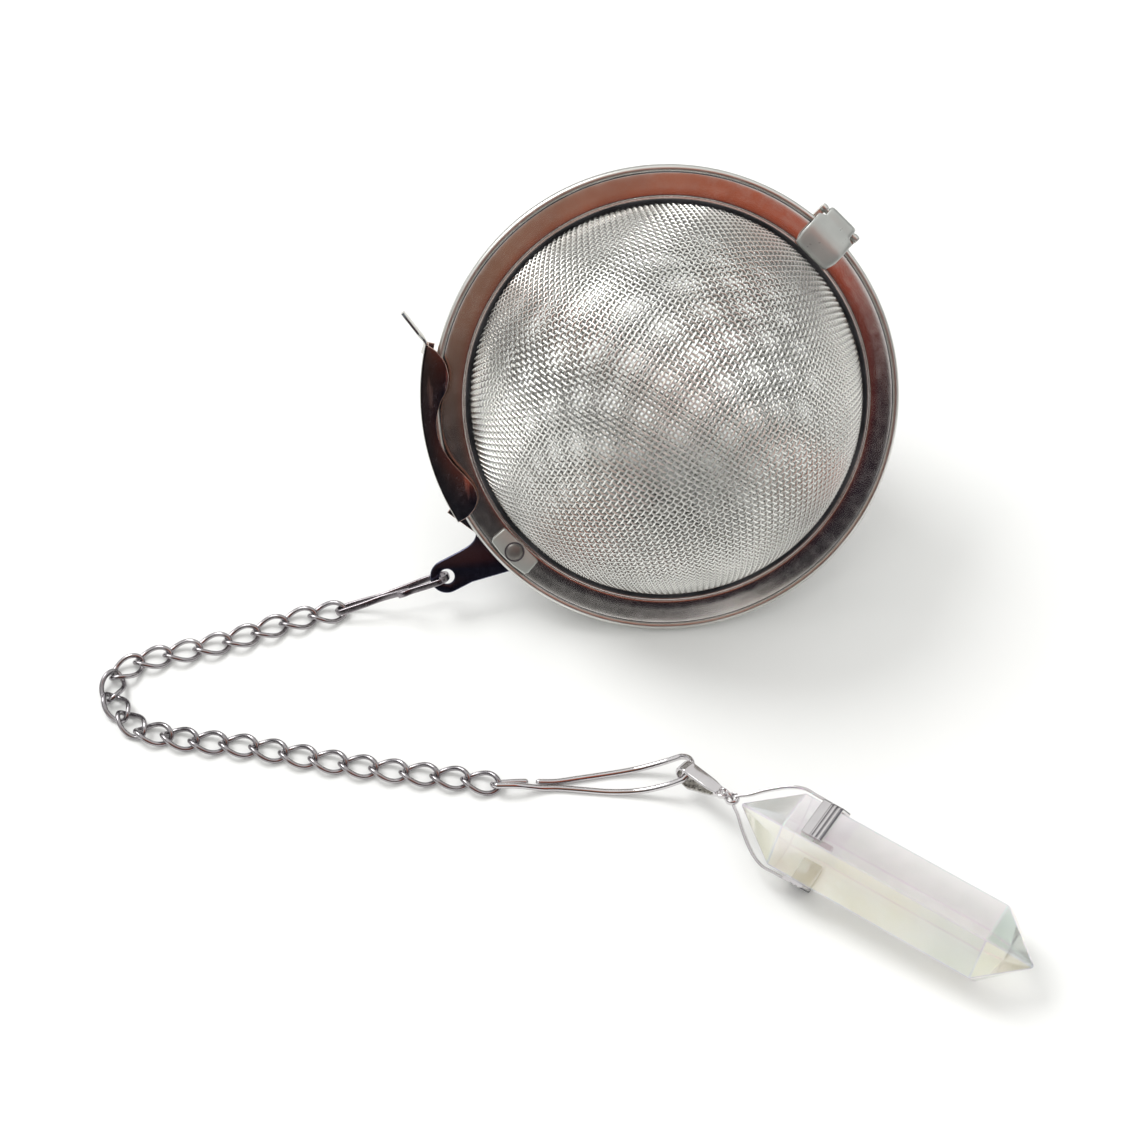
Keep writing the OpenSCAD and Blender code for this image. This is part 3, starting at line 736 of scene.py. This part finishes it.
# ---------------------------------------------------------------- chain
STRIP_T, STRIP_W, STRIP_SPREAD, STRIP_ROLL = 0.45, 0.7, 1.2, 7
STRIP_WAIST, STRIP_END, STRIP_LIFT = 0.4, 0.75, 0.1
STRIP_PAST = 0.35             # the strip's inside reaches this far past the first link's axis
hole = joint_pos("ear_swing")
far = joint_pos("link_01_swing") + [0, 0, STRIP_LIFT]
strip_run = unit(far - hole)
square_on = unit(face - (face @ strip_run) * strip_run)
roll_cos, roll_sin = flat(STRIP_ROLL)
spread = roll_cos * square_on - roll_sin * np.cross(strip_run, square_on)
clip_place = Place(hole, np.column_stack([strip_run, spread, np.cross(strip_run, spread)]))
strip_len = np.linalg.norm(far - hole) + STRIP_PAST + STRIP_T / 2
lap = STRIP_T * 0.98          # the strip's first end lies on its other end
strip_line = [
    [5.6, 0.72 + lap], [4.9, 0.92 + lap * 0.9], [4.1, 1.0 + lap * 0.25], [3.0, 1.16],
    *arc([STRIP_SPREAD - 0.1, 0], STRIP_SPREAD, 90, 270, 9),
    [2.8, -1.18], [4.6, -0.8], [7.0, -STRIP_WAIST], [8.2, -STRIP_WAIST], [10, -0.66],
    *arc([strip_len - STRIP_END, 0], STRIP_END, -80, 80, 8),
    [10, 0.66], [8.2, STRIP_WAIST], [7.0, STRIP_WAIST], [5.6, 0.62], [4.3, 0.87],
]
strip = sweep(smooth_path([[x, y, 0] for x, y in strip_line], 5),
              strip_section(STRIP_W, STRIP_T * 0.8, 0.14), Z_AXIS)
piece("strip_connector", moved(strip, clip_place), "chain_clip", [strip_metal],
      ["chain_clip"])

LINKS = sum(name.startswith("chain_link_") for name in NODES)
LINK_A, LINK_B, LINK_WIRE, LINK_TWIST, LINK_STEPS = 2.0, 1.2, 0.272, 45.0, 56


def link_loop():
    """An oval twisted about its long axis."""
    turn = np.arange(LINK_STEPS) * 2 * math.pi / LINK_STEPS
    side, twist = LINK_B * np.sin(turn), math.radians(LINK_TWIST) * np.cos(turn)
    return np.column_stack([LINK_A * np.cos(turn), side * np.cos(twist), side * np.sin(twist)])


loop = link_loop()
link_mesh = sweep(loop, circle_section(LINK_WIRE, 14), loop, closed=True)
for number in range(1, LINKS + 1):
    start = joint_pos(f"link_{number:02d}_swing")
    end = joint_pos(f"link_{number + 1:02d}_swing" if number < LINKS else "clip_swing")
    along = unit(end - start)
    link_place = Place((start + end) / 2,
                       np.column_stack([along, np.cross(Z_AXIS, along), Z_AXIS]))
    piece(f"twisted_link_{number:02d}", moved(link_mesh, link_place), f"link_{number:02d}",
          [chain_metal], [f"chain_link_{number:02d}"], sharp=SOFT)

# ---------------------------------------------------------------- pendant connector, a bent wire
CLIP_LEN, CLIP_HEADING, CLIP_RISE, RISE_FROM = 20.6, 2.5, 3.0, 12
CLIP_WIRE, SMALL, WAIST, LARGE = 0.33, 0.75, 0.42, 1.5
CLIP_TURN, CLIP_PER, CUT_AT, CUT_TAPER = 45, 6, 39, 0.55


def fade(x, start, end):
    return 0.5 + 0.5 * math.cos(math.pi * min(1, max(0, (x - start) / (end - start))))


wire_side = [
    *arc([0.4, 0], SMALL, 180, 100, 5),
    *np.array([[2, 0.72], [3.4, 0.5], [5, WAIST], [6.5, WAIST], [9, 0.75], [12, 1.15], [15, 1.4],
               [17.5, LARGE]]),
    *arc([CLIP_LEN - LARGE, 0], LARGE, 80, 0, 6),
]
lifted = []
for x, y in wire_side + [p * [1, -1] for p in wire_side[-2:0:-1]]:
    roll = math.radians(-CLIP_TURN * fade(x, 1, 6))
    lift = SMALL * math.sin(math.radians(CLIP_TURN)) * fade(x, 1.5, 6)
    rise = CLIP_RISE * max(0, (x - RISE_FROM) / (CLIP_LEN - RISE_FROM)) ** 2
    lifted.append([x, y * math.cos(roll), CLIP_WIRE + lift + rise + y * math.sin(roll)])
wire_path = np.roll(smooth_path(lifted, CLIP_PER, closed=True), -CUT_AT, 0)[:-2]
wire_scale = np.ones(len(wire_path))
wire_scale[[0, -1]] = CUT_TAPER
wire_place = Place(joint_pos("clip_swing") * [1, 1, 0], spin_z(CLIP_HEADING))
wire_clip = sweep(wire_path, circle_section(CLIP_WIRE, 16), Z_AXIS, scale=wire_scale)
piece("wire_connector", moved(wire_clip, wire_place), "pendant_clip", [chrome],
      ["pendant_clip"], sharp=SOFT)

# ---------------------------------------------------------------- bail and jump ring
HANG_IN, BAIL_R, BAIL_T, BAIL_W = 1.22, 1.45, 0.35, 1.6
LUG_R, LUG_HOLE_R, LUG_HALF, LUG_T = 0.58, 0.39, 0.6, 0.5
RING_MAJOR, RING_WIRE, RING_STEPS, RING_SPLIT = 0.75, 0.165, 48, 8
hang = joint_pos("bail_swing")
lug = joint_pos("ring_swing")
bail_x = unit(lug - hang)
bail_y = joint_axis("bail_swing")
bail_place = Place(hang, np.column_stack([bail_x, bail_y, np.cross(bail_x, bail_y)]))
lug_x = np.linalg.norm(lug - hang)
tip_x = lug_x - 0.5
leaf = smooth_path([
    [tip_x + 0.1, 0.2], [tip_x - 0.8, 0.44],
    *arc([BAIL_R - HANG_IN, 0], BAIL_R - BAIL_T / 2, 62, 298, 11),
    [tip_x - 0.8, -0.44], [tip_x + 0.1, -0.2],
], 6)
bail_band = sweep(
    upright(leaf[:, 0], leaf[:, 1]), strip_section(1.0, BAIL_T, 0.14), Y_AXIS,
    width=np.interp(leaf[:, 0], [-HANG_IN, 0.6, tip_x - 0.9, tip_x + 0.1],
                    [1.3, BAIL_W, 1.5, 1.1]))
lug_plate = plate([
    [(lug_x - 0.7, -LUG_HALF), (lug_x + 0.2, -LUG_HALF)]
    + arc([lug_x + 0.1, 0], LUG_R, -60, 60, 10)
    + [(lug_x + 0.2, LUG_HALF), (lug_x - 0.7, LUG_HALF)],
    round_hole([lug_x, 0], LUG_HOLE_R, 18),
], LUG_T, 0.1)


def bail_face(centre, normal):
    """Inside the leaf the bail is engraved."""
    x, _, z = bail_place.local(centre)
    inward = (normal @ bail_place.axes)[2] * np.sign(z) < -0.5
    return 1 if inward and x < tip_x else 0


piece("teardrop_bail", moved(joined(bail_band, lug_plate), bail_place), "bail",
      [chrome, engraved], ["pendant_bail"], pick=bail_face)
ring_turn = np.radians(np.linspace(RING_SPLIT, 360 - RING_SPLIT, RING_STEPS))
ring_path = upright(lug_x + RING_MAJOR * (1 + np.sin(ring_turn)), RING_MAJOR * np.cos(ring_turn))
piece("split_jump_ring",
      moved(sweep(ring_path, circle_section(RING_WIRE, 14), Y_AXIS), bail_place), "ring",
      [chrome], ["jump_ring"])

# ---------------------------------------------------------------- crystal and its cap
PENDANT_HEADING, FLATS, CRYSTAL_LEN, CAP_POINT, FREE_POINT = -33.8, 8.2, 34.0, 6.0, 4.8
CAP_T, PLATE_FROM, PLATE_W, EYE_BACK = 0.45, 7.6, 2.6, 1.0
CORNER, BODY_END = FLATS / 2 / math.cos(math.radians(30)), CRYSTAL_LEN - FREE_POINT
PENDANT_TILT = math.degrees(math.atan(CAP_T / (BODY_END - PLATE_FROM - PLATE_W)))
EDGE_WIDTH, EDGE_GLINT = 0.12, 3
cap_eye = joint_pos("pendant_swing")
pendant_axes = spin_z(PENDANT_HEADING) @ spin_y(PENDANT_TILT)
pendant = Place(cap_eye + EYE_BACK * pendant_axes[:, 0], pendant_axes)


def hexagon(x):
    return [[x, *flat(60 * k, CORNER)] for k in range(6)]


crystal_verts = [[0, 0, 0], *hexagon(CAP_POINT), *hexagon(BODY_END), [CRYSTAL_LEN, 0, 0]]
crystal_faces = []
for k in range(6):
    j = (k + 1) % 6
    crystal_faces += [(0, 1 + j, 1 + k), (1 + k, 1 + j, 7 + j, 7 + k), (7 + k, 7 + j, 13)]


def crystal_reflection_tint(centre, normal):
    """Painted reflection: the upper facet is tinted greenish and the lower front facet warm, by
    which way each faces.
    """
    _, y, z = normal @ pendant.axes
    angle = math.degrees(math.atan2(z, y)) % 360
    return 1 if 60 < angle < 120 else 2 if 120 < angle < 240 else 0


crystal = piece("hexagonal_crystal", moved((np.array(crystal_verts), crystal_faces), pendant),
                "pendant", [crystal_clear, crystal_green_reflection, crystal_warm_reflection, crystal_violet_glint],
                ["crystal_point"], sharp=10, pick=crystal_reflection_tint)
# The bevelled ground edges take the violet copy, a painted reflection.
ground_edge = crystal.modifiers.new("edge", "BEVEL")
ground_edge.width, ground_edge.segments, ground_edge.limit_method = EDGE_WIDTH * MM, 2, "NONE"
ground_edge.material = EDGE_GLINT

RIB_T, GROOVE_T = 0.2, 0.12
RIBS = (-0.62, 0.95), (0.27, 0.3), (0.74, 0.3)       # place along the plate, and width
GROOVES = (0.02, 0.1), (0.5, 0.1), (1.03, 0.2)
BAND_W = PLATE_W - 0.35
PLATE_MID, PLATE_R = PLATE_FROM + 0.35 + BAND_W / 2, FLATS / 2 + CAP_T / 2
ARM_LEN = {-60: PLATE_FROM + 2.0, 120: PLATE_FROM + 0.9}
ARM_HIGH = FLATS / 2 + CAP_T * 0.9
MITRE = 0.875                 # rounds the corner between two facets
cap_bits, grooves = [], []


def grip_line(x, lift, start=66, end=174):
    """Round the outside of the two gripped facets, with the mitre between them rounded."""
    out = []
    for a in np.linspace(start, end, 61):
        facet = a // 60 * 60 + 30
        r = (PLATE_R + lift) / max(math.cos(math.radians(a - facet)), MITRE)
        out.append([x, *flat(a, r)])
    return np.array(out)


for side, end in ARM_LEN.items():
    cap_side = pendant.sub([0, 0, 0], spin_x(side))
    arm_path = smooth_path([
        [-0.75, 0, 0.3], [-0.35, 0, 0.68], [0.4, 0, 1.2], [1.8, 0, 2.5], [3.6, 0, 3.85],
        [5.2, 0, ARM_HIGH], [PLATE_FROM - 0.9, 0, ARM_HIGH], [PLATE_FROM + 0.4, 0, ARM_HIGH],
        [end - 0.5, 0, ARM_HIGH - 0.05], [end, 0, ARM_HIGH - 0.12],
    ], 7)
    arm_width = np.interp(
        arm_path[:, 0], [-0.8, 0.5, 4, PLATE_FROM, end], [0.7, 0.95, 1.25, 1.45, 2.3])
    bits = [
        sweep(arm_path, strip_section(1.0, 0.3, 0.1), Y_AXIS, width=arm_width),
        sweep(grip_line(PLATE_MID, 0), strip_section(BAND_W, CAP_T * 0.8, 0.12), X_AXIS),
    ]
    for off, wide in RIBS:
        bits.append(sweep(grip_line(PLATE_MID + off, CAP_T * 0.36),
                          strip_section(wide, RIB_T, 0.08), X_AXIS))
    cap_bits += [moved(bit, cap_side) for bit in bits]
    # Thin near-black strips along the bands' grooves: painted shade in the grooves.
    for off, wide in GROOVES:
        groove = sweep(grip_line(PLATE_MID + off, CAP_T * 0.42, 70, 172),
                       strip_section(wide, GROOVE_T, 0.04), X_AXIS)
        grooves.append(moved(groove, cap_side))
EYE_R, EYE_WIRE, EYE_TALL, EYE_STEPS = 0.61, 0.19, 1.6, 36
eye_path = np.column_stack([circle_section(EYE_R, EYE_STEPS), np.zeros(EYE_STEPS)])
cap_ring = sweep(eye_path, circle_section(EYE_WIRE) * [1.0, EYE_TALL], eye_path, closed=True)
cap_bits.append(moved(cap_ring, Place(cap_eye, bail_place.axes)))
piece("crystal_cap", joined(*cap_bits), "pendant", [chrome], ["pendant_cap"])
piece("cap_grooves_painted_shade", joined(*grooves), "pendant", [groove_shade_metal])


# ---------------------------------------------------------------- stage
def stage_mesh(name, corners, faces, material):
    mesh = bpy.data.meshes.new(name)
    mesh.from_pydata(corners, [], faces)
    mesh.materials.append(material)
    obj = linked(name, mesh)
    return obj


def glow_material(name):
    material = bpy.data.materials.new(name)
    material.use_nodes = True
    tree = material.node_tree
    tree.nodes.clear()
    glow = tree.nodes.new("ShaderNodeEmission")
    out = tree.nodes.new("ShaderNodeOutputMaterial")
    tree.links.new(glow.outputs["Emission"], out.inputs["Surface"])
    return material, tree, glow


def screen_patch(name, material, az_span, el_span, r):
    """Part of a dome round the origin that shows only in reflections.

    Azimuth 0 is the camera's side, and it grows towards +X.
    """
    cols, rows = 40, 20
    az, el = np.meshgrid(np.radians(np.linspace(*az_span, cols)),
                         np.radians(np.linspace(*el_span, rows)))
    points = r * np.stack([np.sin(az) * np.cos(el), -np.cos(az) * np.cos(el), np.sin(el)], -1)
    starts = [row * cols + col for row in range(rows - 1) for col in range(cols - 1)]
    faces = [(k, k + 1, k + cols + 1, k + cols) for k in starts]
    obj = stage_mesh(name, points.reshape(-1, 3).tolist(), faces, material)
    obj.visible_camera = obj.visible_diffuse = False
    obj.visible_shadow = obj.visible_transmission = False


FLOOR_HALF = 3
floor_paint, floor_tree, floor_bsdf = shader("pale_floor", Roughness=0.75, Specular_IOR_Level=0.2)
floor_tone = ramp(floor_tree, noise(floor_tree, 30, 3),
                  [(0.3, (0.86, 0.865, 0.855)), (0.7, (0.885, 0.885, 0.875))])
floor_tree.links.new(floor_tone, floor_bsdf.inputs["Base Color"])
stage_mesh("floor", [(-FLOOR_HALF, -FLOOR_HALF, 0), (FLOOR_HALF, -FLOOR_HALF, 0),
                     (FLOOR_HALF, FLOOR_HALF, 0), (-FLOOR_HALF, FLOOR_HALF, 0)],
           [(0, 1, 2, 3)], floor_paint)

# A warm dark screen round the camera's side. Its colours are given by height, left and right.
SCREEN_R, BAND_R = 0.62, 0.8
LEFT_COLORS = [
    (0.0, (0.04, 0.04, 0.045)), (0.06, (0.42, 0.42, 0.40)), (0.13, (0.30, 0.30, 0.28)),
    (0.19, (0.030, 0.030, 0.036)), (0.44, (0.045, 0.042, 0.045)), (0.58, (0.14, 0.09, 0.07)),
    (0.70, (0.34, 0.18, 0.12)), (1.0, (0.46, 0.29, 0.215)),
]
RIGHT_COLORS = [
    (0.0, (0.04, 0.04, 0.045)), (0.06, (0.30, 0.30, 0.30)), (0.12, (0.10, 0.10, 0.10)),
    (0.17, (0.022, 0.020, 0.028)), (0.46, (0.032, 0.022, 0.030)), (0.56, (0.12, 0.032, 0.032)),
    (0.69, (0.55, 0.10, 0.045)), (1.0, (0.62, 0.21, 0.115)),
]
screen_paint, tree, glow = glow_material("warm_screen")
where = tree.nodes.new("ShaderNodeTexCoord")
split = tree.nodes.new("ShaderNodeSeparateXYZ")
tree.links.new(where.outputs["Object"], split.inputs["Vector"])
height = remap(tree, split.outputs["Z"], span=(0.0, SCREEN_R))
rightward = remap(tree, split.outputs["X"], span=(-0.12, 0.20))
blend = color_mix(tree, rightward, ramp(tree, height, LEFT_COLORS))
tree.links.new(ramp(tree, height, RIGHT_COLORS), blend.inputs["B"])
tree.links.new(blend.outputs["Result"], glow.inputs["Color"])
screen_patch("warm_screen", screen_paint, (-38, 48), (0, 72), SCREEN_R)

# Dark bands low round the other sides, which give the steel its dark lines.
band_paint, _, band_glow = glow_material("dark_band")
band_glow.inputs["Color"].default_value = (0.055, 0.05, 0.06, 1)
for band, az_span, el_span in (
        ("back", (120, 240), (3, 24)),
        ("left", (255, 312), (6, 30)),
        ("right", (58, 100), (6, 30))):
    screen_patch(f"dark_band_{band}", band_paint, az_span, el_span, BAND_R)

world = bpy.data.worlds.new("studio")
world.use_nodes = True
sky = world.node_tree.nodes["Background"]
sky.inputs["Color"].default_value = (1.0, 1.0, 0.985, 1)
sky.inputs["Strength"].default_value = 0.95
bpy.context.scene.world = world

LIGHT_AT, LIGHT_SIZE, LIGHT_POWER = (-0.35, 0.25, 0.55), 0.35, 2.6
light = bpy.data.lights.new("key", "AREA")
light.shape, light.size, light.energy = "DISK", LIGHT_SIZE, LIGHT_POWER
light_z = unit(LIGHT_AT)
light_x = unit(np.cross(Y_AXIS, light_z))
light_axes = np.column_stack([light_x, np.cross(light_z, light_x), light_z])
linked("key", light).matrix_world = Matrix(
    [[*row, at] for row, at in zip(light_axes, LIGHT_AT)] + [[0, 0, 0, 1]])

CAMERA_AT, CAMERA_TILT, LENS, SENSOR = (0.00262, -0.169425, 0.22612), 39, 81.4, 36.0
camera = bpy.data.cameras.new("camera")
camera.lens, camera.sensor_width = LENS, SENSOR
camera.clip_start, camera.clip_end = 0.01, 20
camera_obj = linked("camera", camera)
camera_obj.location = CAMERA_AT
camera_obj.rotation_euler = (math.radians(CAMERA_TILT), 0, 0)
bpy.context.scene.camera = camera_obj
bpy.context.scene.view_settings.view_transform = "Standard"

bpy.context.view_layer.update()
